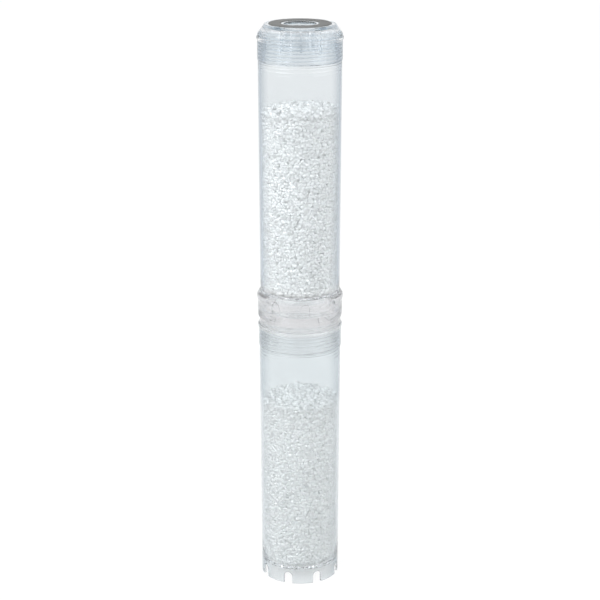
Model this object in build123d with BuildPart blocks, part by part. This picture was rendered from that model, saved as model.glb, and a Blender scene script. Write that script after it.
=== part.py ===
from build123d import *
from math import cos, radians, sin, sqrt
from random import Random
import os

os.makedirs("parts", exist_ok=True)

# Two-stage cartridge: two clear tubes of crystals, one on the other, that water climbs through from
# the foot to the outlet. Millimetres. The axis is Z, and the lower tube's foot stands on Z = 0.

# Tube, one moulding that serves as both stages
tube_length = 241.0
foot_radius = 35.1
taper = 1.15
wall = 2.0
mouth_band = 20.4
mouth_step = 0.5
mouth_wall = 2.35
lip_step = 0.65
lip_height = 3.0
edge_chamfer = 0.4

# Slotted floor that carries the crystals
floor_height = 13.6
floor_thickness = 2.7
slot_width = 1.6
slot_margin = 3.0
inner_slots = 10
outer_slots = 20

# Notches between the foot's teeth, where the water comes in
notch_count = 8
notch_width = 7.9
notch_height = 10.7
lower_turn = 26.75
upper_turn = 7.6

# Screw plugs of the cap and the connector
plug_length = 20.0
plug_wall = 2.2
thread_gap = 0.3
bore_relief = 2.0

# Cap
head_land = 2.2
rim_height = 10.6
rim_width = 3.4
plate_thickness = 2.2
outlet_radius = 14.0
boss_wall = 2.5
boss_drop = 10.0
grille_thickness = 2.0
grille_slots = 8
rib_count = 12
rib_thickness = 1.6
rib_turn = 1.5

# Gasket
gasket_width = 10.3
gasket_thickness = 2.2
gasket_proud = 0.4
gasket_gap = 0.2

# Connector
stage_gap = 15.0
neck_height = 5.5
neck_inset = 0.5
collar_wall = 1.97
bead_step = 0.75
bead_width = 2.6
collar_chamfer = 3.8
socket_depth = 15.8
socket_gap = 0.3
shelf_thickness = 3.0
shelf_overhang = 4.9

# Crystals
bed_gap = 0.3
crystal_length = 5.5
crystal_width = 3.9
crystal_depth = 4.4
crystal_bevel = 1.1
crystal_sink = 1.2
crystal_count = 36
golden_turn = 137.5
lump_sides = 26
lump_levels = 20
lump_relief = 2.2
upper_peak = 180.5
upper_rise = 5.0
upper_lean = 6.0
lower_peak = 173.0
lower_rise = 4.0
lower_lean = 1.5

# Heights worked out from the stack
upper_base = tube_length + stage_gap
cap_seat = upper_base + tube_length
rim_top = cap_seat + rim_height
gasket_seat = rim_top + gasket_proud - gasket_thickness
plate_under = gasket_seat - plate_thickness
boss_bottom = cap_seat - boss_drop
floor_top = floor_height + floor_thickness
shoulder_height = tube_length - mouth_band

# Radii that follow from the tube and the fits
mouth_radius = foot_radius + taper + mouth_step
lip_radius = mouth_radius + lip_step
mouth_bore = mouth_radius - mouth_wall
plug_radius = mouth_bore - thread_gap
plug_bore = plug_radius - plug_wall
head_radius = mouth_radius
boss_radius = outlet_radius + boss_wall
gasket_inner = boss_radius + gasket_gap
gasket_outer = gasket_inner + gasket_width
pocket_radius = gasket_outer + gasket_gap
rim_radius = pocket_radius + rim_width


def tube_outside(height):
    """Radius of a tube's tapered outside at a height above its foot."""
    return foot_radius + taper * height / shoulder_height


def tube_inside(height):
    """Radius of a tube's tapered inside at a height above its foot."""
    return tube_outside(height) - wall


def radial_planes(base, count, turn):
    """Upright planes through the axis that face outwards, evenly spaced round it."""
    planes = []
    for number in range(count):
        angle = radians(turn + number * 360 / count)
        outwards = (cos(angle), sin(angle), 0)
        sideways = (-sin(angle), cos(angle), 0)
        planes.append(Plane(origin=(0, 0, base), x_dir=sideways, z_dir=outwards))
    return planes


def radial_slots(count, inner, outer, turn):
    """A ring of slots that run from one radius to another, in the open sketch."""
    with PolarLocations((inner + outer) / 2, count, start_angle=turn):
        Rectangle(outer - inner, slot_width)


def make_tube(base, turn):
    """Tapered tube with a lipped screw mouth, a slotted floor and a foot cut into teeth."""
    top = base + tube_length
    bore_end = top - plug_length - bore_relief
    with BuildPart() as tube:
        with BuildSketch(Plane.XZ) as section:
            with BuildLine():
                Polyline(
                    (tube_inside(0), base),
                    (foot_radius, base),
                    (tube_outside(shoulder_height), base + shoulder_height),
                    (mouth_radius, base + shoulder_height + mouth_step),
                    (mouth_radius, top - lip_height),
                    (lip_radius, top - lip_height + lip_step),
                    (lip_radius, top),
                    (mouth_bore, top),
                    (mouth_bore, bore_end),
                    (tube_inside(bore_end - base), bore_end),
                    (tube_inside(floor_top), base + floor_top),
                    (0, base + floor_top),
                    (0, base + floor_height),
                    (tube_inside(floor_height), base + floor_height),
                    close=True,
                )
            make_face()
            lip_corners = section.vertices().group_by(Axis.Y)[-1]
            chamfer(lip_corners, min(edge_chamfer, (lip_radius - mouth_bore) / 4))
        revolve(axis=Axis.Z)
        with BuildSketch(Plane.XY.offset(base + floor_height)):
            middle = tube_inside(floor_height) / 2
            radial_slots(inner_slots, slot_margin, middle - slot_margin / 2, turn)
            radial_slots(outer_slots, middle + slot_margin / 2, tube_inside(0) - slot_margin, turn)
        extrude(amount=floor_thickness, mode=Mode.SUBTRACT)
        arch = notch_width / 2
        with BuildSketch(*radial_planes(base, notch_count, turn)):
            with Locations((0, (notch_height - arch) / 2)):
                Rectangle(notch_width, notch_height - arch)
            with Locations((0, notch_height - arch)):
                Circle(arch)
        extrude(amount=lip_radius, mode=Mode.SUBTRACT)
    return tube.part


def make_lumps(base, rim_heights, apex, chance):
    """Faceted column that stands on the floor: rings of corners, each half a side round from the
    last and some drawn in from the wall, with a triangle on every side and a peak on top."""
    rings = []
    for level in range(lump_levels + 1):
        ring = []
        for side, rim_height in enumerate(rim_heights):
            angle = radians((side + level % 2 / 2) * 360 / lump_sides)
            height = floor_top + (rim_height - floor_top) * level / lump_levels
            radius = tube_inside(height) - bed_gap - lump_relief * chance.choice((0, 0.5, 1))
            ring.append(Vector(radius * cos(angle), radius * sin(angle), base + height))
        rings.append(ring)
    facets = [Face(Wire.make_polygon(rings[0]))]
    for level in range(lump_levels):
        lower = rings[level]
        upper = rings[level + 1]
        for side in range(lump_sides):
            following = (side + 1) % lump_sides
            tip = upper[side] if level % 2 == 0 else upper[following]
            heel = lower[following] if level % 2 == 0 else lower[side]
            facets.append(Face(Wire.make_polygon((lower[side], lower[following], tip))))
            facets.append(Face(Wire.make_polygon((heel, upper[following], upper[side]))))
    for side in range(lump_sides):
        following = (side + 1) % lump_sides
        facets.append(Face(Wire.make_polygon((rings[-1][side], rings[-1][following], apex))))
    return Solid(Shell(facets))


def make_crystals(base, peak, rise, lean, seed):
    """Heaped bed of crystals: a column of lumps with a domed, off-centre top, set with loose pieces."""
    head = tube_inside(peak) - bed_gap
    reach = head + lean
    dome = (reach**2 + rise**2) / (2 * rise)
    chance = Random(seed)
    rim_heights = []
    for side in range(lump_sides):
        angle = radians(side * 360 / lump_sides)
        away = sqrt((head * cos(angle) - lean) ** 2 + (head * sin(angle)) ** 2)
        rim_heights.append(peak - dome + sqrt(dome**2 - away**2))
    lumps = make_lumps(base, rim_heights, Vector(lean, 0, base + peak), chance)
    spread = head - crystal_length
    places = []
    for number in range(crystal_count):
        radius = spread * sqrt((number + 0.5) / crystal_count)
        angle = radians(number * golden_turn)
        x = radius * cos(angle)
        y = radius * sin(angle)
        z = base + peak - dome + sqrt(dome**2 - (x - lean) ** 2 - y**2) - crystal_sink
        tilt = (chance.uniform(0, 360), chance.uniform(0, 360), chance.uniform(0, 360))
        places.append(Location((x, y, z), tilt))
    with BuildPart() as bed:
        add(lumps)
        with Locations(*places):
            Wedge(
                crystal_length,
                crystal_width,
                crystal_depth,
                crystal_bevel,
                crystal_bevel / 2,
                crystal_length - crystal_bevel,
                crystal_depth - crystal_bevel,
            )
    return bed.part


def make_connector():
    """Coupling with a screw plug below, a shelf round an open throat, and a beaded collar above."""
    neck_radius = mouth_radius - neck_inset
    neck_top = tube_length + neck_height
    socket_radius = tube_outside(socket_depth) + socket_gap
    collar_radius = socket_radius + collar_wall
    collar_top = upper_base + socket_depth
    bead_radius = collar_radius + bead_step
    bead_top = collar_top - collar_chamfer
    throat_radius = plug_bore - shelf_overhang
    shelf_under = upper_base - shelf_thickness
    with BuildPart() as connector:
        with BuildSketch(Plane.XZ):
            with BuildLine():
                Polyline(
                    (plug_bore, tube_length - plug_length),
                    (plug_radius, tube_length - plug_length),
                    (plug_radius, tube_length),
                    (neck_radius, tube_length),
                    (neck_radius, neck_top),
                    (collar_radius, neck_top + 2 * (collar_radius - neck_radius)),
                    (collar_radius, bead_top - bead_width - 2 * bead_step),
                    (bead_radius, bead_top - bead_width),
                    (bead_radius, bead_top),
                    (socket_radius + edge_chamfer, collar_top),
                    (socket_radius, collar_top),
                    (socket_radius, upper_base),
                    (throat_radius, upper_base),
                    (throat_radius, shelf_under),
                    (plug_bore, shelf_under - shelf_overhang),
                    close=True,
                )
            make_face()
        revolve(axis=Axis.Z)
    return connector.part


def make_cap():
    """Screw cap: chamfered head with a gasket pocket, outlet boss with a grille, ribs and plug."""
    plug_end = cap_seat - plug_length
    corner = (plate_under - cap_seat) / 2
    rib_length = plug_bore - boss_radius + boss_wall / 2 + plug_wall / 2
    rib_middle = boss_radius - boss_wall / 2 + rib_length / 2
    with BuildPart() as cap:
        with BuildSketch(Plane.XZ):
            with BuildLine():
                Polyline(
                    (plug_bore, plug_end),
                    (plug_radius, plug_end),
                    (plug_radius, cap_seat),
                    (head_radius, cap_seat),
                    (head_radius, cap_seat + head_land),
                    (rim_radius, rim_top),
                    (pocket_radius, rim_top),
                    (pocket_radius, gasket_seat),
                    (boss_radius, gasket_seat),
                    (boss_radius, rim_top),
                    (outlet_radius + edge_chamfer, rim_top),
                    (outlet_radius, rim_top - edge_chamfer),
                    (outlet_radius, boss_bottom + grille_thickness),
                    (0, boss_bottom + grille_thickness),
                    (0, boss_bottom),
                    (boss_radius, boss_bottom),
                    (boss_radius, plate_under),
                    (plug_bore - corner, plate_under),
                    (plug_bore, plate_under - corner),
                    close=True,
                )
            make_face()
        revolve(axis=Axis.Z)
        with BuildSketch(Plane.XY.offset(boss_bottom)):
            with PolarLocations(rib_middle, rib_count, start_angle=rib_turn):
                Rectangle(rib_length, rib_thickness)
        extrude(amount=plate_under - boss_bottom)
        with BuildSketch(Plane.XY.offset(boss_bottom)):
            radial_slots(grille_slots, slot_margin, outlet_radius - slot_margin / 2, rib_turn)
        extrude(amount=grille_thickness, mode=Mode.SUBTRACT)
    return cap.part


def make_gasket():
    """Flat rubber ring that lies in the cap's pocket and stands proud of the rim."""
    with BuildPart() as gasket:
        with BuildSketch(Plane.XY.offset(gasket_seat)):
            Circle(gasket_outer)
            Circle(gasket_inner, mode=Mode.SUBTRACT)
        extrude(amount=gasket_thickness)
        chamfer(gasket.edges().group_by(Axis.Z)[-1], gasket_proud / 2)
    return gasket.part


pieces = {
    "lower_tube": make_tube(0, lower_turn),
    "lower_crystals": make_crystals(0, lower_peak, lower_rise, lower_lean, 11),
    "connector": make_connector(),
    "upper_tube": make_tube(upper_base, upper_turn),
    "upper_crystals": make_crystals(upper_base, upper_peak, upper_rise, upper_lean, 5),
    "cap": make_cap(),
    "gasket": make_gasket(),
}

for name, piece in pieces.items():
    piece.label = name
    export_step(piece, f"parts/{name}.step")
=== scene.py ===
import math

import bpy
import numpy as np
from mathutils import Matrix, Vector


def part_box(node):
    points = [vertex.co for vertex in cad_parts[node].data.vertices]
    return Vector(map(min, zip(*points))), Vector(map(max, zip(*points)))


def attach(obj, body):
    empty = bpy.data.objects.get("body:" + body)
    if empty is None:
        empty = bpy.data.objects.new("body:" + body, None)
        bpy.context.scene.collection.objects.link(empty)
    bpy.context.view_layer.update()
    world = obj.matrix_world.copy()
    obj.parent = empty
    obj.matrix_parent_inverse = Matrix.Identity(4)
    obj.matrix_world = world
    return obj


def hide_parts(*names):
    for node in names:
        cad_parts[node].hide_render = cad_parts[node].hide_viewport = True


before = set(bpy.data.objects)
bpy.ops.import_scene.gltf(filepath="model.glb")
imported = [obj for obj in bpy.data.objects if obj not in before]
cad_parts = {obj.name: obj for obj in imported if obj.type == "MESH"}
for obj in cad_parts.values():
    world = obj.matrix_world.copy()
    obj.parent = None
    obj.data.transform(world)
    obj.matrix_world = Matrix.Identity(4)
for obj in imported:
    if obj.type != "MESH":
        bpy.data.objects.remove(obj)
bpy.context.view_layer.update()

# Two clear tubes of crystals joined by a connector, with a screw cap and a gasket on top. Metres.
# The heights and outer radii come from the frame, and the profiles repeat the part's own sizes.

MM = 0.001
TAU = 2 * math.pi

# Room left between pieces that touch
FIT = 0.02 * MM
# Nearer than this, two sizes are the same
SAME = 0.01 * MM
# Nearer than this, a point is on a face
NEAR = 0.1 * MM
# Longest side of a face away from the threads
FACE_LENGTH = 14 * MM

# Heights and radii read from the frame
FOOT_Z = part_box("lower_tube")[0][2]
LOWER_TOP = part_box("lower_tube")[1][2]
UPPER_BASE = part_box("upper_tube")[0][2]
CAP_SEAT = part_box("upper_tube")[1][2]
GASKET_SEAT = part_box("gasket")[0][2]
GASKET_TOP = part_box("gasket")[1][2]
COLLAR_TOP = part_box("connector")[1][2]
LIP_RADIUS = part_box("lower_tube")[1][0]
BEAD_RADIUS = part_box("connector")[1][0]
HEAD_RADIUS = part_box("cap")[1][0]
GASKET_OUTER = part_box("gasket")[1][0]
TUBE_LENGTH = LOWER_TOP - FOOT_Z

# Tube
FOOT_RADIUS = 35.1 * MM
TAPER = 1.15 * MM
WALL = 2.0 * MM
MOUTH_BAND = 20.4 * MM
MOUTH_STEP = 0.5 * MM
MOUTH_WALL = 2.35 * MM
LIP_HEIGHT = 3.0 * MM
LIP_STEP = 0.65 * MM
SHOULDER = TUBE_LENGTH - MOUTH_BAND
MOUTH_RADIUS = LIP_RADIUS - LIP_STEP
MOUTH_BORE = MOUTH_RADIUS - MOUTH_WALL
BORE_LENGTH = 22 * MM
BORE_STEP = 0.3 * MM
BORE_BLEND = 10 * MM

# Slotted floor and notched foot
FLOOR_HEIGHT = 13.6 * MM
FLOOR_THICKNESS = 2.7 * MM
SLOT_WIDTH = 1.6 * MM
SLOT_MARGIN = 3.0 * MM
FLOOR_FILLET = 1.2 * MM
NOTCHES = 8
NOTCH_WIDTH = 7.9 * MM
NOTCH_HEIGHT = 10.7 * MM
NOTCH_DRAFT = 0.08 * MM
SKIRT = NOTCH_HEIGHT + 1.2 * MM
SKIRT_ROWS = 6
FOOT_EDGE = 0.3 * MM
LOWER_TURN = math.radians(26.75)
UPPER_TURN = math.radians(7.6)

# Screw plugs and their threads
THREAD_GAP = 0.3 * MM
PLUG_WALL = 2.2 * MM
PLUG_RADIUS = MOUTH_BORE - THREAD_GAP
PLUG_BORE = PLUG_RADIUS - PLUG_WALL
PLUG_LENGTH = 20 * MM
THREAD_PITCH = 3.15 * MM
THREAD_DEPTH = 0.33 * MM
THREAD_END = 0.5 * MM
THREAD_STEP = THREAD_PITCH / 11

# Cap
RIM_HEIGHT = 10.6 * MM
HEAD_LAND = 2.2 * MM
RIM_WIDTH = 3.4 * MM
GASKET_GAP = 0.2 * MM
POCKET_RADIUS = GASKET_OUTER + GASKET_GAP
RIM_RADIUS = POCKET_RADIUS + RIM_WIDTH
OUTLET_RADIUS = 14 * MM
BOSS_WALL = 2.5 * MM
BOSS_RADIUS = OUTLET_RADIUS + BOSS_WALL
BOSS_DROP = 10 * MM
PLATE_THICKNESS = 2.2 * MM
PLATE_UNDER = GASKET_SEAT - PLATE_THICKNESS
GRILLE_THICKNESS = 2 * MM
GRILLE_LEDGE = 0.6 * MM
RIBS = 12
RIB_WIDTH = 1.6 * MM
RIB_TURN = math.radians(1.5)
RIB_SLIT = 0.04 * MM

# Connector
NECK_HEIGHT = 5.5 * MM
NECK_INSET = 0.5 * MM
COLLAR_WALL = 1.97 * MM
COLLAR_CHAMFER = 3.8 * MM
BEAD_STEP = 0.75 * MM
BEAD_WIDTH = 2.6 * MM
BEAD_SLOPE = 1.5 * MM
SHELF_THICKNESS = 3 * MM
SHELF_OVERHANG = 4.9 * MM
RING_DEPTH = 0.4 * MM

# Crystals. Rows of a staggered grid lie nearer than its columns, by the row share.
BED_GAP = 0.2 * MM
GRAIN = 3.9 * MM
CRYSTAL_CORNERS = 12
ROW_SHARE = 0.87
GOLDEN_ANGLE = math.radians(137.5)

# Camera. It has no shift, so it stands a little higher and farther off than the photograph's did.
CAMERA_DISTANCE = 1.5
CAMERA_HEIGHT = 0.72
CAMERA_TILT = math.radians(17.007)
CAMERA_LENS = 105.5

scene = bpy.context.scene


# Surfaces


def mesh_piece(name, points, face_sets, material):
    """A mesh object at the origin from an array of points and arrays of quads and triangles."""
    points = np.asarray(points, np.float32).reshape(-1, 3)
    face_sets = [np.asarray(faces, np.int32) for faces in face_sets if len(faces)]
    sizes = np.concatenate([np.full(len(faces), faces.shape[1]) for faces in face_sets])
    corners = np.concatenate([faces.ravel() for faces in face_sets])
    mesh = bpy.data.meshes.new(name)
    mesh.vertices.add(len(points))
    mesh.vertices.foreach_set("co", points.ravel())
    mesh.loops.add(len(corners))
    mesh.loops.foreach_set("vertex_index", corners)
    mesh.polygons.add(len(sizes))
    starts = np.concatenate([[0], np.cumsum(sizes)[:-1]])
    mesh.polygons.foreach_set("loop_start", starts.astype(np.int32))
    mesh.update(calc_edges=True)
    mesh.validate()
    piece = bpy.data.objects.new(name, mesh)
    scene.collection.objects.link(piece)
    mesh.materials.append(material)
    return piece


def turned(radius, height, angle):
    """Grid of points at a radius and a height for each row and column, at each column's angle."""
    radius, height, angle = np.broadcast_arrays(radius, height, angle)
    return np.stack([radius * np.cos(angle), radius * np.sin(angle), height], axis=-1)


def skin(grid, closed=False, first_pole=None, last_pole=None):
    """Points and faces of a surface over a grid whose columns run round a ring.

    Quads join each row to the next, and the last to the first where the profile is closed. A pole
    is one point that closes the surface before the first row or after the last with triangles.
    """
    rows, columns = grid.shape[:2]
    row, column = np.meshgrid(np.arange(rows if closed else rows - 1), np.arange(columns), indexing="ij")
    below = row * columns
    above = (row + 1) % rows * columns
    right = (column + 1) % columns
    quads = np.stack([below + column, below + right, above + right, above + column], axis=-1)
    points = [grid.reshape(-1, 3)]
    triangles = np.zeros((0, 3), int)
    ring = np.arange(columns)
    turn = (ring + 1) % columns
    count = rows * columns
    if first_pole is not None:
        points.append(np.array([first_pole]))
        fan = np.stack([np.full(columns, count), turn, ring], axis=-1)
        triangles = np.concatenate([triangles, fan])
        count += 1
    if last_pole is not None:
        points.append(np.array([last_pole]))
        last = (rows - 1) * columns
        fan = np.stack([last + ring, last + turn, np.full(columns, count)], axis=-1)
        triangles = np.concatenate([triangles, fan])
    return np.concatenate(points), quads.reshape(-1, 4), triangles


def joined(parts):
    """One set of points, quads and triangles from several, each part's numbers moved on by the last."""
    points, quads, triangles, start = [], [], [], 0
    for part_points, part_quads, part_triangles in parts:
        points.append(part_points)
        quads.append(np.asarray(part_quads, int).reshape(-1, 4) + start)
        triangles.append(np.asarray(part_triangles, int).reshape(-1, 3) + start)
        start += len(part_points)
    return np.concatenate(points), np.concatenate(quads), np.concatenate(triangles)


def eased(profile, steps=4):
    """Closed profile with eased corners, from the radius, height and reach of each. A corner becomes
    an arc of a parabola that leaves its two sides at its reach from it, or just under half-way along
    the shorter side."""
    corners, reach = np.split(np.array(profile), [2], axis=1)
    before = np.roll(corners, 1, axis=0) - corners
    after = np.roll(corners, -1, axis=0) - corners
    before_length = np.linalg.norm(before, axis=1)
    after_length = np.linalg.norm(after, axis=1)
    reach = np.minimum(reach[:, 0], 0.45 * np.minimum(before_length, after_length))
    start = corners + before * (reach / before_length)[:, None]
    end = corners + after * (reach / after_length)[:, None]
    t = np.linspace(0, 1, steps)[None, :, None]
    arcs = (1 - t) ** 2 * start[:, None] + 2 * t * (1 - t) * corners[:, None] + t ** 2 * end[:, None]
    return arcs.reshape(-1, 2)


def finer(profile, step, closed=True):
    """The profile with its sides cut into equal lengths of at most a step, one step for each side."""
    following = np.roll(profile, -1, axis=0) if closed else profile[1:]
    start = profile if closed else profile[:-1]
    length = np.linalg.norm(following - start, axis=1)
    count = np.maximum(1, np.ceil(length / np.broadcast_to(step, length.shape))).astype(int)
    side = np.repeat(np.arange(len(count)), count)
    share = (np.arange(count.sum()) - np.repeat(np.cumsum(count) - count, count)) / count[side]
    points = start[side] + share[:, None] * (following - start)[side]
    return points if closed else np.concatenate([points, profile[-1:]])


def thread(height, angle, low, high, depth, phase=0.0):
    """Height of a screw ridge: a rounded crest, half a pitch wide, wherever height over pitch less the
    share of a turn is half-way between whole numbers, faded in over a pitch at both ends."""
    along = (height / THREAD_PITCH - angle / TAU + phase) % 1.0
    crest = np.clip(1 - 4 * np.abs(along - 0.5), 0, 1)
    crest = crest * crest * (3 - 2 * crest)
    fade = np.clip((height - low) / THREAD_PITCH, 0, 1) * np.clip((high - height) / THREAD_PITCH, 0, 1)
    return depth * crest * fade


def threaded_ring(profile, threads, columns=224):
    """Grid of a profile turned round the axis, with each thread raised on the rows at its radius. A
    thread is its radius, low end, high end, depth and phase, which is a share of a turn."""
    radius_rows, height_rows = profile[:, :1], profile[:, 1:]
    angle = (np.arange(columns) / columns * TAU)[None, :]
    radius = np.broadcast_to(radius_rows, (len(profile), columns)).copy()
    for at, low, high, depth, phase in threads:
        on_thread = np.abs(radius_rows - at) < SAME
        radius = radius + on_thread * thread(height_rows, angle, low, high, depth, phase)
    return turned(radius, height_rows, angle)


def set_attribute(piece, name, values):
    """A number for each point of the piece, which its material reads by name. Points past the last
    value, such as a floor's or a rib's, get zero."""
    all_values = np.zeros(len(piece.data.vertices), np.float32)
    all_values[: len(values)] = values
    piece.data.attributes.new(name, "FLOAT", "POINT").data.foreach_set("value", all_values)


def crisp_and_smooth(piece, degrees=38):
    """Smooth shading, with edges sharper than the angle kept crisp."""
    mesh = piece.data
    mesh.polygons.foreach_set("use_smooth", np.ones(len(mesh.polygons), bool))
    mesh.set_sharp_from_angle(angle=math.radians(degrees))


# Materials


def feed(tree, node, inputs):
    """Give each input of a node, by its name or number, a value or another node's output."""
    for key, value in inputs.items():
        if isinstance(value, bpy.types.NodeSocket):
            tree.links.new(value, node.inputs[key])
        else:
            node.inputs[key].default_value = value


def result(tree, kind, output, inputs, **settings):
    """The named output of a new node of a kind, with its settings and what feeds its inputs."""
    node = tree.nodes.new("ShaderNode" + kind)
    for setting, value in settings.items():
        setattr(node, setting, value)
    feed(tree, node, inputs)
    return node.outputs[output]


def carried(tree, value, low, high, start=0, end=1):
    """Number that runs from low to high as the value goes from start to end, and no farther."""
    return result(tree, "MapRange", "Result", {
        "Value": value, "From Min": start, "From Max": end, "To Min": low, "To Max": high})


def mixed(tree, share, first, second, kind="RGBA"):
    """Colour, or number where the kind says so, that goes from the first to the second by a share."""
    return result(tree, "Mix", "Result", {"Factor": share, "A": first, "B": second}, data_type=kind)


def combined(tree, operation, first, second):
    """Number made from two others by a maths operation."""
    return result(tree, "Math", "Value", {0: first, 1: second}, operation=operation)


def ramp(tree, value, stops):
    """Colour that runs through the stops, each a position and a colour, as the value grows."""
    node = tree.nodes.new("ShaderNodeValToRGB")
    elements = node.color_ramp.elements
    for _ in stops[2:]:
        elements.new(0.5)
    for element, (position, colour) in zip(elements, stops):
        element.position = position
        element.color = (*colour, 1)
    feed(tree, node, {"Fac": value})
    return node.outputs["Color"]


def new_material(name):
    """A material with nodes, its node tree and its shader."""
    material = bpy.data.materials.new(name)
    material.use_nodes = True
    tree = material.node_tree
    return material, tree, tree.nodes["Principled BSDF"]


def plastic(name, tint, painted_edge_shade, clear, roughness, absorbed, density):
    """Clear moulded plastic. The surface is a refracting gloss, whose roughness wanders a little
    over the moulding and whose flow ripples bend what is seen through it. Its outer face, marked by
    the attribute "outside", holds the tint, which deepens to a painted edge shade where it is seen edge on,
    in place of the darker surroundings that real edges refract.
    The haze lies on that face too. The rest is nearly colourless, but for what lies in its depth.
    Lamps shine through it."""
    material, tree, surface = new_material(name)
    place = result(tree, "TexCoord", "Object", {})
    stretched = result(tree, "Mapping", "Vector", {"Vector": place, "Scale": (1, 1, 0.25)})
    cloud = result(tree, "TexNoise", "Fac", {"Vector": stretched, "Scale": 42, "Detail": 3})
    clear_tint = ramp(tree, cloud, [(0.3, (0.992, 0.994, 0.996)), (0.7, (0.998, 0.999, 1.0))])
    outside = result(tree, "Attribute", "Fac", {}, attribute_name="outside")
    # Painted edge shade: the outer tint darkens where the face is seen edge on
    slant = result(tree, "LayerWeight", "Facing", {"Blend": 0.5})
    edge = carried(tree, slant, 0, 1, start=0.34, end=0.68)
    tint_and_edge_shade = mixed(tree, edge, (*tint, 1), (*painted_edge_shade, 1))
    colour_with_edge_shade = mixed(tree, outside, clear_tint, tint_and_edge_shade)
    gloss = carried(tree, cloud, 0.6 * roughness, 1.4 * roughness)
    clearness = carried(tree, outside, 1, clear)
    ripple = result(tree, "Bump", "Normal", {"Height": cloud, "Strength": 0.05, "Distance": 1 * MM})
    feed(tree, surface, {
        "Base Color": colour_with_edge_shade, "Roughness": gloss, "IOR": 1.49, "Transmission Weight": clearness,
        "Normal": ripple})
    shadow = result(tree, "LightPath", "Is Shadow Ray", {})
    lamplight = result(tree, "BsdfTransparent", "BSDF", {"Color": (0.94, 0.96, 0.97, 1)})
    shader = result(tree, "MixShader", "Shader", {"Fac": shadow, 1: surface.outputs["BSDF"], 2: lamplight})
    depth = result(tree, "VolumeAbsorption", "Volume", {"Color": (*absorbed, 1), "Density": density})
    feed(tree, tree.nodes["Material Output"], {"Surface": shader, "Volume": depth})
    return material


def crystal_material():
    """Crushed glassy crystals. Each has its own tone, from grey-green to milky, and a cloud of lighter
    and darker spots inside it. The palest quarter of them has the brightest facets."""
    material, tree, surface = new_material("crystals")
    tone = result(tree, "Attribute", "Fac", {}, attribute_name="tone")
    place = result(tree, "TexCoord", "Object", {})
    cloud = result(tree, "TexNoise", "Fac", {"Vector": place, "Scale": 480, "Detail": 2})
    blend = mixed(tree, 0.35, tone, cloud, kind="FLOAT")
    colour = ramp(tree, blend, [
        (0.12, (0.955, 0.975, 0.97)), (0.4, (0.975, 0.985, 0.98)), (0.75, (0.99, 0.995, 0.99))])
    gloss = carried(tree, tone, 0.04, 0.22)
    shine = carried(tree, tone, 0.35, 1, start=0.75)
    feed(tree, surface, {
        "Base Color": colour, "Roughness": gloss, "IOR": 1.75, "Specular IOR Level": shine,
        "Subsurface Weight": 0.65, "Subsurface Radius": (1.0, 1.0, 1.0), "Subsurface Scale": 2 * MM,
        "Transmission Weight": 0.04})
    return material


def rubber_material():
    """Matt dark rubber with a fine moulded grain and paler worn patches."""
    material, tree, surface = new_material("gasket_rubber")
    place = result(tree, "TexCoord", "Object", {})
    grain = result(tree, "TexNoise", "Fac", {"Vector": place, "Scale": 1400})
    patches = result(tree, "TexNoise", "Fac", {"Vector": place, "Scale": 90})
    colour = ramp(tree, patches, [(0.35, (0.09, 0.091, 0.089)), (0.7, (0.135, 0.137, 0.134))])
    pits = result(tree, "Bump", "Normal", {"Height": grain, "Strength": 0.25, "Distance": 0.3 * MM})
    feed(tree, surface, {"Base Color": colour, "Roughness": 0.5, "Normal": pits})
    return material


# Tubes


def tube_outside(height):
    """Radius of the tapered outside at a height above the foot."""
    return FOOT_RADIUS + TAPER * height / SHOULDER


def foot_outline(turn):
    """Angle and height of the foot's lower edge, round all its teeth and notches, as two arrays.

    Each notch is a nearly upright side, an arch that is half a circle, and the other side, laid on
    the tube by the arc sine of its width over the radius. The tooth after it lies at height zero.
    """
    half = NOTCH_WIDTH / 2
    spring = NOTCH_HEIGHT - half
    arch = np.linspace(0, math.pi, 17)
    across = np.concatenate([[-half - NOTCH_DRAFT], -half * np.cos(arch), [half + NOTCH_DRAFT]])
    rise = np.concatenate([[0.0], spring + half * np.sin(arch), [0.0]])
    notch_angle = np.arcsin(across / FOOT_RADIUS)
    tooth = np.linspace(notch_angle[-1], TAU / NOTCHES + notch_angle[0], 14)[1:-1]
    one_angle = np.concatenate([notch_angle, tooth])
    one_rise = np.concatenate([rise, np.zeros(len(tooth))])
    starts = turn + np.arange(NOTCHES)[:, None] * TAU / NOTCHES
    return (starts + one_angle).ravel(), np.tile(one_rise, NOTCHES)


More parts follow.
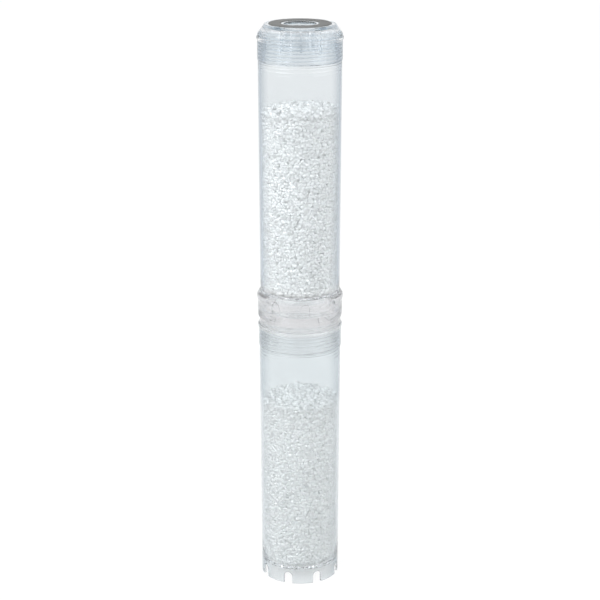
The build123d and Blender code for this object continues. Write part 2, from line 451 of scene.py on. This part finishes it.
def tube_shell(base, turn):
    """The tube's wall as a grid: a profile of radius and height turned round the axis, from the
    underside of the floor down the inside, round the foot, up the outside, over the mouth and back
    down to the top of the floor. Below the skirt line each column follows its own height on the
    foot's outline, in equal shares. The mouth's screw thread fades to half its depth below the bore."""
    angle, rise = foot_outline(turn)
    top = TUBE_LENGTH
    floor_top = FLOOR_HEIGHT + FLOOR_THICKNESS
    bore_end = top - BORE_LENGTH
    below = bore_end - BORE_BLEND
    thread_top = top - 1 * MM
    near_bore = MOUTH_BORE + NEAR / 2

    def inside(height):
        return tube_outside(height) - WALL

    profile = eased([
        (tube_outside(SKIRT), SKIRT, 0),
        (FOOT_RADIUS + TAPER, SHOULDER, 0.4 * MM),
        (MOUTH_RADIUS, SHOULDER + MOUTH_STEP, 0.25 * MM),
        (MOUTH_RADIUS, top - LIP_HEIGHT, 0.3 * MM),
        (LIP_RADIUS, top - LIP_HEIGHT + LIP_STEP, 0.3 * MM),
        (LIP_RADIUS, top, 0.55 * MM),
        (MOUTH_BORE, top, 0.45 * MM),
        (MOUTH_BORE, bore_end, 0.1 * MM),
        (inside(bore_end), bore_end - BORE_STEP, 0.1 * MM),
        (inside(below), below, 0.1 * MM),
        (inside(floor_top), floor_top, 0.8 * MM),
        (inside(floor_top) - FLOOR_FILLET, floor_top, 0),
    ])[3:-3]
    length = np.linalg.norm(np.diff(profile, axis=0), axis=1)
    middle = (profile[:-1] + profile[1:]) / 2
    threaded = (middle[:, 0] < near_bore) & (middle[:, 1] > below) & (length > 1 * MM)
    profile = finer(profile, np.where(threaded, THREAD_STEP, FACE_LENGTH), closed=False)
    radius_rows, height_rows = profile[:, :1], profile[:, 1:]
    inner = (radius_rows < near_bore) & (height_rows < thread_top)
    depth = THREAD_DEPTH * np.interp(height_rows, [bore_end, bore_end + 3 * MM], [0.5, 1])
    ridge = thread(height_rows, angle, below + 1 * MM, thread_top, depth)
    radius = radius_rows - inner * ridge
    under = eased([
        (inside(FLOOR_HEIGHT) - FLOOR_FILLET, FLOOR_HEIGHT, 0),
        (inside(FLOOR_HEIGHT), FLOOR_HEIGHT, 0.5 * MM),
        (inside(SKIRT), SKIRT, 0),
    ])[3:-3]
    share = np.linspace(0, 1, SKIRT_ROWS, endpoint=False)[:, None]
    outer_height = rise + FOOT_EDGE + (SKIRT - rise - FOOT_EDGE) * share
    inner_height = outer_height[::-1]
    bands = [
        (under[:, :1], under[:, 1:]),
        (inside(inner_height), inner_height),
        (inside(0) + FOOT_EDGE, rise[None]),
        (tube_outside(0) - FOOT_EDGE, rise[None]),
        (tube_outside(outer_height), outer_height),
        (radius, height_rows),
    ]
    return np.concatenate([turned(radii, heights + base, angle) for radii, heights in bands])


def laced(inner, outer):
    """Triangles that fill the flat band between two rings of points, facing up where both run
    anticlockwise. A walk round both rings by angle makes one triangle at each point it comes to,
    from that point and the last one passed on each ring. Outer points are counted on from the inner."""
    inner_angle = np.arctan2(inner[:, 1], inner[:, 0])
    outer_angle = np.arctan2(outer[:, 1], outer[:, 0])
    inner_order, outer_order = np.argsort(inner_angle), np.argsort(outer_angle)
    walk = np.argsort(np.concatenate([inner_angle[inner_order], outer_angle[outer_order]]), kind="stable")
    on_inner = walk < len(inner)
    last_inner = inner_order[(np.cumsum(on_inner) - 1) % len(inner)]
    last_outer = outer_order[(np.cumsum(~on_inner) - 1) % len(outer)] + len(inner)
    reached = np.roll(np.where(on_inner, last_inner, last_outer), -1)
    return np.stack([last_inner, last_outer, reached], axis=-1)


def floored(wall, floor):
    """An open wall grid whose first row stands round the floor's underside and whose last row stands
    round its top, closed with a slotted disc by a flat laced band below and another above."""
    floor_points, floor_quads, floor_triangles, under_ring, top_ring = floor
    wall_points, wall_quads, wall_triangles = skin(wall)
    columns = wall.shape[1]
    points, quads, triangles = joined([
        (wall_points, wall_quads, wall_triangles), (floor_points, floor_quads, floor_triangles)])
    bands = [triangles]
    for disc_ring, wall_ring, order in [
        (under_ring + len(wall_points), np.arange(columns), [1, 0, 2]),
        (top_ring + len(wall_points), np.arange(len(wall_points) - columns, len(wall_points)), [0, 1, 2]),
    ]:
        ring = np.concatenate([disc_ring, wall_ring])
        bands.append(ring[laced(points[disc_ring], points[wall_ring])][:, order])
    return points, quads, np.concatenate(bands)


def slotted_disc(low, high, rim, inner, outer, turn, sectors=10):
    """A disc with a ring of slots, or two rings where the outer one has twice as many.

    Rows are circles at the slots' ends, and columns are sixteen rays in each sector. Two rays run
    along each slot's sides, an arc sine of half its width over the radius from its middle, and the
    rest share the land between slots. The cells between a slot's two rays are left out of both faces,
    and four upright walls close each opening. The rim is left open, and the numbers of its points
    below and above come with the faces.
    """
    rays = 16
    sector = TAU / sectors

    def ray_angles(radius, slots):
        half = np.arcsin(SLOT_WIDTH / 2 / radius)
        pitch = sector / slots
        spare = rays // slots - 2
        land = half + (pitch - 2 * half) * np.arange(1, spare + 1) / (spare + 1)
        one = np.concatenate([[-half, half], land])
        starts = turn + np.arange(sectors * slots)[:, None] * pitch
        return (starts + one).ravel()

    circles = [(inner[0], 1), (inner[1], 1)]
    if outer:
        circles += [(outer[0], 2), (outer[1], 2)]
    circles += [(rim, 2 if outer else 1)]
    radius = np.array([circle[0] for circle in circles])
    angle = np.array([ray_angles(*circle) for circle in circles])
    count, columns = angle.shape
    bottom = turned(radius[:, None], low, angle)
    top = turned(radius[:, None], high, angle)[::-1]
    points, quads, triangles = skin(
        np.concatenate([bottom, top]), first_pole=(0, 0, low), last_pole=(0, 0, high))
    inner_cells = np.arange(0, columns, rays)
    outer_cells = np.arange(0, columns, rays // 2) if outer else inner_cells[:0]
    row = np.repeat([0, 2], [len(inner_cells), len(outer_cells)])
    column = np.concatenate([inner_cells, outer_cells])
    mirrored = 2 * count - 1 - row
    rim_cells = np.arange((count - 1) * columns, count * columns)
    left_out = np.concatenate([row * columns + column, (mirrored - 1) * columns + column, rim_cells])
    quads = np.delete(quads, left_out, axis=0)
    loop = [(row, column), (row + 1, column), (row + 1, column + 1), (row, column + 1)]
    walls = []
    for here, there in zip(loop, loop[1:] + loop[:1]):
        low_here, low_there = here[0] * columns + here[1], there[0] * columns + there[1]
        high_here = (2 * count - 1 - here[0]) * columns + here[1]
        high_there = (2 * count - 1 - there[0]) * columns + there[1]
        walls.append(np.stack([low_here, high_here, high_there, low_there], axis=-1))
    return points, np.concatenate([quads] + walls), triangles, rim_cells, rim_cells + columns


def make_tube(name, base, turn, tints, material):
    """The wall with its slotted floor moulded in. The outer face takes a share of its tint that runs
    from one given height and share to the next. The lip has about a third of that share, and its
    eased top none, so both are painted lighter, as highlights on the lip."""
    middle = (tube_outside(FLOOR_HEIGHT) - WALL) / 2
    inner_slots = (SLOT_MARGIN, middle - SLOT_MARGIN / 2)
    outer_slots = (middle + SLOT_MARGIN / 2, tube_outside(0) - WALL - SLOT_MARGIN)
    floor = slotted_disc(
        base + FLOOR_HEIGHT, base + FLOOR_HEIGHT + FLOOR_THICKNESS, outer_slots[1] + 0.8 * MM,
        inner_slots, outer_slots, turn)
    wall = tube_shell(base, turn)
    points, quads, triangles = floored(wall, floor)
    piece = mesh_piece(name, points, [quads, triangles], material)
    radius = np.hypot(wall[..., 0], wall[..., 1])
    height = wall[..., 2] - base
    heights, shares = np.array(tints).T
    # Less tint on the lip and none on its eased top: painted highlights on the lip
    lip_share_painted_lighter = 0.35
    on_outside = radius > tube_outside(height) - WALL / 2
    on_lip = height > TUBE_LENGTH - LIP_HEIGHT - 2 * NEAR
    top_painted_as_highlight = height > TUBE_LENGTH - 0.7 * MM
    share = np.interp(height, heights, shares) * np.where(on_lip, lip_share_painted_lighter, 1) * ~top_painted_as_highlight
    set_attribute(piece, "outside", (on_outside * share).ravel())
    crisp_and_smooth(piece)
    return piece


# Crystals


def spin(chance, count):
    """Random turns as matrices, from random unit quaternions."""
    q = chance.normal(size=(count, 4))
    w, x, y, z = (q / np.linalg.norm(q, axis=1, keepdims=True)).T
    rows = [
        [1 - 2 * (y * y + z * z), 2 * (x * y - z * w), 2 * (x * z + y * w)],
        [2 * (x * y + z * w), 1 - 2 * (x * x + z * z), 2 * (y * z - x * w)],
        [2 * (x * z - y * w), 2 * (y * z + x * w), 1 - 2 * (x * x + y * y)],
    ]
    return np.stack([np.stack(row, axis=-1) for row in rows], axis=1)


def crystal_shapes(chance, count):
    """Unit crystals: two uneven rings of five corners between two points, pressed a little flat."""
    ring_turn = chance.uniform(0, TAU, (count, 1, 1))
    angle = np.arange(5)[None, None, :] * TAU / 5 + ring_turn + chance.uniform(-0.25, 0.25, (count, 2, 5))
    radius = chance.uniform(0.40, 0.58, (count, 2, 5))
    height = np.array([-0.26, 0.26])[None, :, None] + chance.uniform(-0.12, 0.12, (count, 2, 5))
    rings = np.stack([radius * np.cos(angle), radius * np.sin(angle), height], axis=-1)
    poles = chance.uniform(-0.16, 0.16, (count, 2, 3))
    poles[:, 0, 2] = chance.uniform(-0.55, -0.42, count)
    poles[:, 1, 2] = chance.uniform(0.42, 0.55, count)
    corners = np.concatenate([rings.reshape(count, 10, 3), poles], axis=1)
    return corners * chance.uniform([0.85, 0.75, 0.8], [1.2, 1.0, 1.25], (count, 3))[:, None, :]


def crystal_faces():
    """Triangles of a unit crystal: a fan below, ten between the rings and a fan above."""
    ring = np.arange(5)
    turn = (ring + 1) % 5
    below = np.stack([np.full(5, 10), turn, ring], axis=-1)
    between = np.concatenate([
        np.stack([ring, turn, turn + 5], axis=-1), np.stack([ring, turn + 5, ring + 5], axis=-1)])
    above = np.stack([ring + 5, turn + 5, np.full(5, 11)], axis=-1)
    return np.concatenate([below, between, above])


def wall_layers(chance, bottom, peak, head, wall_radius):
    """Centres of two layers of crystals against the wall, the outer one denser.

    Each layer is a grid of rows and columns laid round the wall at its depth, with every other row
    moved half a column on, and each centre strays by up to a third of a step.
    """
    layers = []
    for depth, step in [(0.45 * GRAIN, 0.76 * GRAIN), (1.15 * GRAIN, 1.0 * GRAIN)]:
        columns = round(TAU * (head - depth) / step)
        rows = int((peak - FLOOR_HEIGHT) / (step * ROW_SHARE))
        row, column = np.meshgrid(np.arange(rows), np.arange(columns), indexing="ij")
        shape = row.shape
        angle = (column + 0.5 * (row % 2) + chance.uniform(-0.33, 0.33, shape)) * TAU / columns
        z = bottom + (row + 0.5 + chance.uniform(-0.33, 0.33, shape)) * step * ROW_SHARE
        radius = wall_radius(z) - depth + chance.uniform(-0.1, 0.1, shape) * GRAIN
        layers.append(turned(radius, z, angle).reshape(-1, 3))
    return np.concatenate(layers)


def heap_layers(chance, head, heap_top):
    """Centres of two layers of crystals on the heap, the lower one nearly hidden.

    They lie as seeds do on a sunflower: each is turned by the golden angle from the last, at a
    radius that grows as the square root of its number, and strays by up to a third of a grain.
    """
    crowding = 1.4
    number = np.arange(int(crowding * math.pi * head ** 2 / (GRAIN * GRAIN * ROW_SHARE)))
    layers = []
    for depth in (0.35 * GRAIN, 0.95 * GRAIN):
        radius = (head - 0.4 * GRAIN) * np.sqrt((number + 0.5) / len(number))
        angle = number * GOLDEN_ANGLE + chance.uniform(0, TAU)
        x = radius * np.cos(angle) + chance.uniform(-0.3, 0.3, len(number)) * GRAIN
        y = radius * np.sin(angle) + chance.uniform(-0.3, 0.3, len(number)) * GRAIN
        z = heap_top(x, y) - depth + chance.uniform(-0.35, 0.45, len(number)) * GRAIN
        layers.append(np.stack([x, y, z], axis=-1))
    return np.concatenate(layers)


def settled_crystals(chance, centres, bottom, wall_radius):
    """Corners of a turned and sized crystal at each centre, pushed in towards the axis until its
    outermost corner just clears the wall, and lifted until its lowest one clears the bottom."""
    count = len(centres)
    size = GRAIN * chance.uniform(1.0, 1.55, count)
    corners = np.einsum("nij,nkj->nki", spin(chance, count), crystal_shapes(chance, count))
    corners = corners * size[:, None, None] + centres[:, None, :]
    over = np.hypot(corners[..., 0], corners[..., 1]) - wall_radius(corners[..., 2])
    inwards = -centres[:, :2] / np.linalg.norm(centres[:, :2], axis=1, keepdims=True)
    push = np.maximum(over.max(axis=1), 0)
    corners[..., :2] += (inwards * push[:, None])[:, None, :]
    lift = np.maximum(bottom + 0.05 * MM - corners[..., 2].min(axis=1), 0)
    corners[..., 2] += lift[:, None]
    return corners.reshape(-1, 3)


def bed_core(bottom, head, heap_top):
    """The filling behind the crystals: the wall and the heap's top, both drawn in by a little over a
    grain and turned round the axis. It spreads at the bottom like settled dust."""
    inset, depth = 1.05 * GRAIN, 1.1 * GRAIN
    foot = FOOT_RADIUS - WALL
    dust = foot - 1.7 * MM
    angle = np.arange(60) / 60 * TAU
    radius = np.concatenate([
        [dust, dust, foot - inset, head - inset], (head - inset) * np.linspace(0.9, 0.1, 8)])
    core = turned(radius[:, None], np.zeros((len(radius), 1)), angle)
    core[..., 2] = heap_top(core[..., 0], core[..., 1]) - depth
    core[:3, :, 2] = bottom + np.array([[0.3], [2.2], [6.0]]) * MM
    top = heap_top(0, 0) - depth
    return skin(core, first_pole=(0, 0, bottom + 0.3 * MM), last_pole=(0, 0, top))


def make_bed(name, base, peak, rise, lean, seed, material):
    """A bed of loose crystals heaped off centre, round a core. The heap's top is part of a sphere,
    which stands at its peak over the lean and has sunk by the rise at the farther wall, with low
    swells that are a product of two sine waves."""
    chance = np.random.default_rng(seed)
    bottom = base + FLOOR_HEIGHT + FLOOR_THICKNESS
    head = tube_outside(peak) - WALL - BED_GAP
    dome = ((head + lean) ** 2 + rise ** 2) / (2 * rise)
    dome_z = base + peak - dome

    def wall_radius(z):
        return tube_outside(z - base) - WALL - BED_GAP

    def heap_top(x, y):
        swell = 0.9 * MM * np.sin(x / (2.9 * MM) + seed) * np.sin(y / (3.3 * MM) + 2 * seed)
        return dome_z + np.sqrt(dome ** 2 - (x - lean) ** 2 - y ** 2) + swell

    centres = np.concatenate([
        wall_layers(chance, bottom, peak, head, wall_radius), heap_layers(chance, head, heap_top)])
    centres = centres[centres[:, 2] < heap_top(centres[:, 0], centres[:, 1]) + 0.1 * GRAIN]
    count = len(centres)
    corners = settled_crystals(chance, centres, bottom, wall_radius)
    first_corners = np.arange(count)[:, None, None] * CRYSTAL_CORNERS
    faces = (crystal_faces()[None] + first_corners).reshape(-1, 3)
    tone = np.repeat(chance.uniform(0, 1, count), CRYSTAL_CORNERS)
    core_tone = 0.8
    no_quads = np.zeros((0, 4), int)
    points, quads, triangles = joined([(corners, no_quads, faces), bed_core(bottom, head, heap_top)])
    piece = mesh_piece(name, points, [quads, triangles], material)
    set_attribute(piece, "tone", np.concatenate([tone, np.full(len(points) - len(tone), core_tone)]))
    return piece


# Cap, connector and gasket


def upright_bars(angle, start, end, low, high, width):
    """Straight bars that stand out from the axis, one at each angle: eight corners a bar, along it
    from start to end, across it by half the width, and from low to high."""
    along = np.array([start, end, end, start, start, end, end, start])
    across = np.array([-1, -1, 1, 1, -1, -1, 1, 1]) * width / 2
    z = np.array([low, low, low, low, high, high, high, high])
    outwards = np.stack([np.cos(angle), np.sin(angle)], axis=-1)[:, None, :]
    sideways = np.stack([-np.sin(angle), np.cos(angle)], axis=-1)[:, None, :]
    flat = outwards * along[None, :, None] + sideways * across[None, :, None]
    points = np.concatenate([flat, np.broadcast_to(z[None, :, None], (len(angle), 8, 1))], axis=-1)
    box = np.array([[3, 2, 1, 0], [4, 5, 6, 7], [0, 1, 5, 4], [1, 2, 6, 5], [2, 3, 7, 6], [3, 0, 4, 7]])
    quads = box[None] + np.arange(len(angle))[:, None, None] * 8
    return points.reshape(-1, 3), quads.reshape(-1, 4), np.zeros((0, 3), int)


def make_cap(material):
    """Screw cap: a turned head with a gasket pocket, outlet and threaded plug, a slotted grille in
    the outlet and twelve ribs from the boss to the plug's wall. The plug's outside takes its whole
    tint, and the outlet's bore, the head's land and its slope take the shares named below. The bore's share
    is painted shade in the outlet, and the slope's smaller share leaves it painted lighter, as a highlight."""
    seat = CAP_SEAT
    rim = seat + RIM_HEIGHT
    plug_end = seat - PLUG_LENGTH
    boss_bottom = seat - BOSS_DROP
    corner = (PLATE_UNDER - seat) / 2
    grille_rim = OUTLET_RADIUS - GRILLE_LEDGE
    grille_top = boss_bottom + GRILLE_THICKNESS
    profile = eased([
        (grille_rim, boss_bottom, 0),
        (BOSS_RADIUS, boss_bottom, 0.4 * MM),
        (BOSS_RADIUS, PLATE_UNDER, 0.8 * MM),
        (PLUG_BORE - corner, PLATE_UNDER, 1.2 * MM),
        (PLUG_BORE, PLATE_UNDER - corner, 1.2 * MM),
        (PLUG_BORE, plug_end, 0.6 * MM),
        (PLUG_RADIUS, plug_end, 0.6 * MM),
        (PLUG_RADIUS, seat + FIT, 0.2 * MM),
        (HEAD_RADIUS, seat + FIT, 0.3 * MM),
        (HEAD_RADIUS, seat + HEAD_LAND, 0.8 * MM),
        (RIM_RADIUS, rim, 0.5 * MM),
        (POCKET_RADIUS, rim, 0.4 * MM),
        (POCKET_RADIUS, GASKET_SEAT, 0.3 * MM),
        (BOSS_RADIUS, GASKET_SEAT, 0.3 * MM),
        (BOSS_RADIUS, rim, 0.35 * MM),
        (OUTLET_RADIUS, rim, 0.5 * MM),
        (OUTLET_RADIUS, grille_top, 0.4 * MM),
        (grille_rim, grille_top, 0),
    ], steps=5)[4:-4]
    at_plug = np.abs(profile[:, 0] - PLUG_RADIUS) < SAME
    step = np.where(at_plug[:-1] & at_plug[1:], THREAD_STEP, FACE_LENGTH)
    head = threaded_ring(finer(profile, step, closed=False), [
        (PLUG_RADIUS, plug_end + THREAD_END, seat - THREAD_END, THREAD_DEPTH, 0.5)])
    grille = slotted_disc(
        boss_bottom, grille_top, grille_rim - 0.3 * MM,
        (SLOT_MARGIN, OUTLET_RADIUS - SLOT_MARGIN / 2), None, RIB_TURN, sectors=8)
    angle = RIB_TURN + np.arange(RIBS) * TAU / RIBS
    ribs = upright_bars(
        angle, BOSS_RADIUS + RIB_SLIT, PLUG_BORE - RIB_SLIT, boss_bottom, PLATE_UNDER - RIB_SLIT, RIB_WIDTH)
    points, quads, triangles = joined([floored(head, grille), ribs])
    piece = mesh_piece("screw_cap", points, [quads, triangles], material)
    radius, height = np.hypot(head[..., 0], head[..., 1]), head[..., 2]
    # The bore's share is painted shade in the outlet; the slope's small share is a painted highlight
    bore_painted_shade, land_tint, slope_painted_highlight = 0.6, 0.6, 0.35
    on_plug = (radius > PLUG_RADIUS - NEAR) & (height < seat)
    in_bore = (radius < OUTLET_RADIUS + NEAR) & (height > grille_top + 0.5 * MM)
    on_head = (radius > RIM_RADIUS - 0.5 * MM) & (height > seat)
    head_tint_and_highlight = np.where(height > seat + HEAD_LAND, slope_painted_highlight, land_tint)
    set_attribute(piece, "outside", (on_plug + bore_painted_shade * in_bore + head_tint_and_highlight * on_head).ravel())
    crisp_and_smooth(piece)
    return piece


def make_connector(material):
    """Coupling turned from one profile: threaded plug below with fine rings in its bore, a shelf round
    the throat, and a beaded collar."""
    neck_radius = MOUTH_RADIUS - NECK_INSET
    neck_top = LOWER_TOP + NECK_HEIGHT
    collar_radius = BEAD_RADIUS - BEAD_STEP
    socket_radius = collar_radius - COLLAR_WALL
    bead_top = COLLAR_TOP - COLLAR_CHAMFER
    bead_under = bead_top - BEAD_WIDTH
    throat = PLUG_BORE - SHELF_OVERHANG
    shelf_under = UPPER_BASE - SHELF_THICKNESS
    plug_end = LOWER_TOP - PLUG_LENGTH
    profile = eased([
        (PLUG_BORE, plug_end, 0.6 * MM),
        (PLUG_RADIUS, plug_end, 0.6 * MM),
        (PLUG_RADIUS, LOWER_TOP + FIT, 0.2 * MM),
        (neck_radius, LOWER_TOP + FIT, 0.3 * MM),
        (neck_radius, neck_top, 0.5 * MM),
        (collar_radius, neck_top + 2 * (collar_radius - neck_radius), 0.8 * MM),
        (collar_radius, bead_under - BEAD_SLOPE, 0.6 * MM),
        (BEAD_RADIUS, bead_under, 0.6 * MM),
        (BEAD_RADIUS, bead_top, 0.9 * MM),
        (socket_radius + 0.4 * MM, COLLAR_TOP, 0.3 * MM),
        (socket_radius, COLLAR_TOP, 0.2 * MM),
        (socket_radius, UPPER_BASE - FIT, 0.3 * MM),
        (throat, UPPER_BASE - FIT, 0.5 * MM),
        (throat, shelf_under, 0.5 * MM),
        (PLUG_BORE, shelf_under - SHELF_OVERHANG, 1.2 * MM),
    ], steps=5)
    radii = profile[:, 0]
    upright = np.abs(np.roll(radii, -1) - radii) < SAME
    at_plug = upright & (radii > PLUG_BORE - NEAR) & (radii < PLUG_RADIUS + NEAR)
    body = threaded_ring(finer(profile, np.where(at_plug, THREAD_STEP, FACE_LENGTH)), [
        (PLUG_RADIUS, plug_end + THREAD_END, LOWER_TOP - THREAD_END, THREAD_DEPTH, 0.5),
        (PLUG_BORE, plug_end + 2 * MM, neck_top + 9 * MM, -RING_DEPTH, 0.2),
    ])
    points, quads, triangles = skin(body, closed=True)
    piece = mesh_piece("stage_connector", points, [quads, triangles], material)
    collar_tint, plug_tint = 0.8, 0.6
    radius = np.hypot(body[..., 0], body[..., 1])
    on_collar = (radius > neck_radius - NEAR) & (body[..., 2] > LOWER_TOP)
    on_plug = (radius > PLUG_RADIUS - NEAR) & (body[..., 2] < LOWER_TOP)
    set_attribute(piece, "outside", (collar_tint * on_collar + plug_tint * on_plug).ravel())
    crisp_and_smooth(piece)
    return piece


def make_gasket(material):
    """Flat rubber ring with rounded edges, turned from one profile."""
    inner, outer, low = BOSS_RADIUS + GASKET_GAP, GASKET_OUTER, GASKET_SEAT + FIT
    edge = 0.5 * MM
    profile = eased([
        (inner, low, edge), (outer, low, edge), (outer, GASKET_TOP, edge), (inner, GASKET_TOP, edge),
    ], steps=6)
    ring = threaded_ring(finer(profile, 1.5 * MM), [], columns=160)
    points, quads, triangles = skin(ring, closed=True)
    piece = mesh_piece("gasket_ring", points, [quads, triangles], material)
    crisp_and_smooth(piece, 50)
    return piece


# The cartridge

tube_plastic = plastic(
    "tube_plastic", tint=(0.84, 0.87, 0.89), painted_edge_shade=(0.29, 0.35, 0.42), clear=1.0, roughness=0.03,
    absorbed=(0.50, 0.60, 0.67), density=4)
hazy_plastic = plastic(
    "hazy_plastic", tint=(0.72, 0.765, 0.785), painted_edge_shade=(0.38, 0.44, 0.49), clear=0.92, roughness=0.035,
    absorbed=(0.55, 0.63, 0.69), density=2)
cap_plastic = plastic(
    "cap_plastic", tint=(0.71, 0.755, 0.79), painted_edge_shade=(0.38, 0.44, 0.51), clear=1.0, roughness=0.04,
    absorbed=(0.50, 0.60, 0.67), density=14)
collar_plastic = plastic(
    "collar_plastic", tint=(0.67, 0.67, 0.685), painted_edge_shade=(0.42, 0.43, 0.45), clear=0.90, roughness=0.06,
    absorbed=(0.50, 0.54, 0.57), density=5)
crystals = crystal_material()
rubber = rubber_material()

# Heights on each tube and the share of its tint there. The upper foot has none, as the connector's
# tinted collar stands round it.
lower_tints = [(12 * MM, 1), (18 * MM, 0.75), (165 * MM, 0.75), (178 * MM, 1)]
upper_tints = [(12 * MM, 0), (22 * MM, 1)]

lower_tube = make_tube("lower_tube_moulding", FOOT_Z, LOWER_TURN, lower_tints, hazy_plastic)
upper_tube = make_tube("upper_tube_moulding", UPPER_BASE, UPPER_TURN, upper_tints, tube_plastic)
lower_bed = make_bed(
    "lower_crystal_bed", FOOT_Z, peak=173 * MM, rise=4 * MM, lean=1.5 * MM, seed=3, material=crystals)
upper_bed = make_bed(
    "upper_crystal_bed", UPPER_BASE, peak=180.5 * MM, rise=5 * MM, lean=6 * MM, seed=4, material=crystals)

for piece, node, slot in [
    (lower_tube, "lower_tube", "hazy_plastic"),
    (upper_tube, "upper_tube", "clear_plastic"),
    (lower_bed, "lower_crystals", "crystals"),
    (upper_bed, "upper_crystals", "crystals"),
    (make_connector(collar_plastic), "connector", "clear_plastic"),
    (make_cap(cap_plastic), "cap", "clear_plastic"),
    (make_gasket(rubber), "gasket", "gasket_rubber"),
]:
    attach(piece, "root")
    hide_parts(node)


# Stage, lights and camera


def set_floor():
    """Floor that keeps a faint shadow. The camera sees most of it as plain white and the rest of it
    lit, and gloss and clear plastic show a smaller share of it as plain white."""
    material, tree, surface = new_material("floor")
    feed(tree, surface, {"Base Color": (0.96, 0.96, 0.96, 1), "Roughness": 0.9})
    camera_share, plastic_share = 0.85, 0.4
    ray = tree.nodes.new("ShaderNodeLightPath").outputs
    by_camera = combined(tree, "MULTIPLY", ray["Is Camera Ray"], camera_share)
    indirect = combined(tree, "MAXIMUM", ray["Is Transmission Ray"], ray["Is Glossy Ray"])
    by_plastic = combined(tree, "MULTIPLY", indirect, plastic_share)
    share = combined(tree, "MAXIMUM", by_camera, by_plastic)
    white = result(tree, "Emission", "Emission", {"Strength": 1.04})
    shader = result(tree, "MixShader", "Shader", {"Fac": share, 1: surface.outputs["BSDF"], 2: white})
    feed(tree, tree.nodes["Material Output"], {"Surface": shader})
    half = 7.0
    corners = [(-half, -half, 0), (half, -half, 0), (half, half, 0), (-half, half, 0)]
    floor = mesh_piece("floor", corners, [np.array([[0, 1, 2, 3]])], material)


def set_room():
    """A room that is white where it is seen or shows in the plastic, and a plain pale grey where it
    lights scattering surfaces."""
    world = bpy.data.worlds.new("studio")
    scene.world = world
    world.use_nodes = True
    tree = world.node_tree
    ray = tree.nodes.new("ShaderNodeLightPath").outputs
    seen = combined(tree, "MAXIMUM", ray["Is Camera Ray"], ray["Is Transmission Ray"])
    shown = combined(tree, "MAXIMUM", seen, ray["Is Glossy Ray"])
    grey = result(tree, "Background", "Background", {"Color": (0.84, 0.865, 0.87, 1), "Strength": 1.0})
    white = tree.nodes["Background"]
    feed(tree, white, {"Color": (1, 1, 1, 1), "Strength": 1.0})
    shader = result(tree, "MixShader", "Shader", {"Fac": shown, 1: grey, 2: white.outputs["Background"]})
    feed(tree, tree.nodes["World Output"], {"Surface": shader})


def set_lamp(name, place, size, power):
    """A square soft lamp that faces the middle of the cartridge."""
    middle = Vector((0, 0, 0.25))
    data = bpy.data.lights.new(name, "AREA")
    data.size = size
    data.energy = power
    lamp = bpy.data.objects.new(name, data)
    scene.collection.objects.link(lamp)
    lamp.location = place
    lamp.rotation_euler = (middle - lamp.location).to_track_quat("-Z", "Y").to_euler()


set_floor()
set_room()
set_lamp("key", place=(-1.25, -1.15, 1.42), size=1.7, power=21.5)
set_lamp("fill", place=(1.6, -1.0, 1.0), size=1.6, power=12)

camera_data = bpy.data.cameras.new("camera")
camera_data.lens = CAMERA_LENS
camera_data.clip_start = 0.05
camera_data.clip_end = 50
camera = bpy.data.objects.new("camera", camera_data)
scene.collection.objects.link(camera)
camera.location = (0, -CAMERA_DISTANCE, CAMERA_HEIGHT)
camera.rotation_euler = (math.pi / 2 - CAMERA_TILT, 0, 0)
scene.camera = camera
scene.view_settings.view_transform = "Standard"

# Light crosses many walls of clear plastic before it leaves the cartridge
scene.cycles.max_bounces = 80
scene.cycles.transmission_bounces = 80
scene.cycles.diffuse_bounces = 16
scene.cycles.glossy_bounces = 60
scene.cycles.transparent_max_bounces = 32
